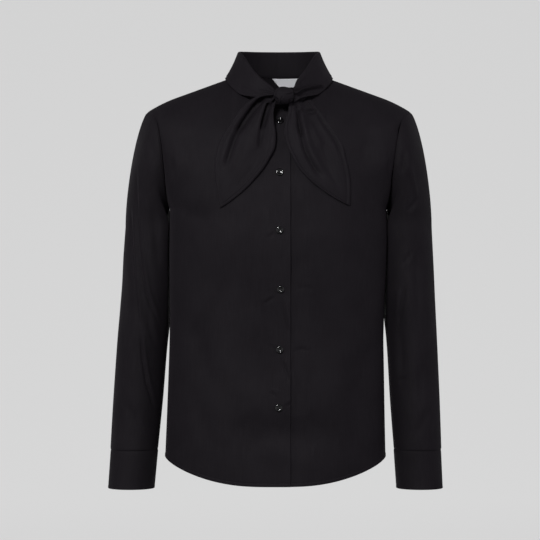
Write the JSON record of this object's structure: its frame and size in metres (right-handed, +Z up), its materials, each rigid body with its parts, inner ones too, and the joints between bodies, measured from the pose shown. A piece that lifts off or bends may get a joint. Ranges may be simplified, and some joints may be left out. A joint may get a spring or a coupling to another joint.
{
  "type": "tie-neck shirt",
  "caption": "Hollow long-sleeved shirt with a buttoned front, buttoned cuffs, a curved hem and a turned-down collar tied at the neck in pointed ends.",
  "frame": {"origin": "between the shoulders, on the garment's middle plane, level with the neck end of the shoulder seams, where a wearer's shoulders hold it up", "axes": "+Z up towards the collar, -Y out of the buttoned front, +X towards the shirt's own left sleeve"},
  "size_m": [0.5337, 0.2332, 0.7012],
  "materials": {
    "shirt_cloth": "black cotton poplin with a soft sheen",
    "button": "polished black, domed rim",
    "label": "white woven ribbon, bare"
  },
  "bodies": {
    "root": {"front_right": "shirt_cloth", "front_left": "shirt_cloth", "back": "shirt_cloth", "sleeve_right": "shirt_cloth", "sleeve_left": "shirt_cloth", "cuff_right": "shirt_cloth", "cuff_left": "shirt_cloth", "collar": "shirt_cloth", "tie_knot": "shirt_cloth", "tie_end_right": "shirt_cloth", "tie_end_left": "shirt_cloth", "button_1": "button", "button_2": "button", "button_3": "button", "button_4": "button", "button_5": "button", "button_6": "button", "cuff_button_right": "button", "cuff_button_left": "button", "neck_label": "label"}
  },
  "joints": []
}
